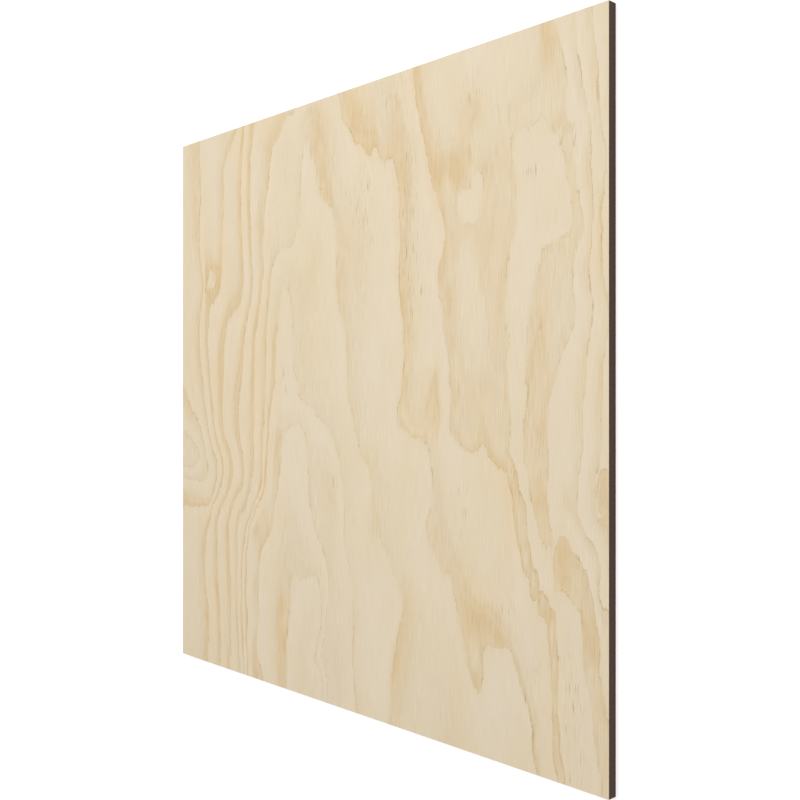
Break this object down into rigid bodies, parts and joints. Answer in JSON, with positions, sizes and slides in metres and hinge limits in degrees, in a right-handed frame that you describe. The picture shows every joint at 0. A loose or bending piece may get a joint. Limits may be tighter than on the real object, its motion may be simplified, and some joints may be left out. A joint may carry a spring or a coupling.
{
  "type": "veneered wood panel",
  "caption": "Square flat panel with a pale pine veneer face on a dark brown fibreboard core, for lining, joinery and craft work.",
  "frame": {"origin": "middle of the back face, which the panel lies on", "axes": "+Z out of the show face, +Y along the veneer's grain, +X across the grain"},
  "size_m": [1.22, 1.22, 0.019],
  "materials": {
    "pine_face": "sanded",
    "dark_fibreboard": "sawn",
    "pine_back": "sanded"
  },
  "bodies": {
    "root": {"face_veneer": "pine_face", "core_board": "dark_fibreboard", "back_veneer": "pine_back"}
  },
  "joints": []
}
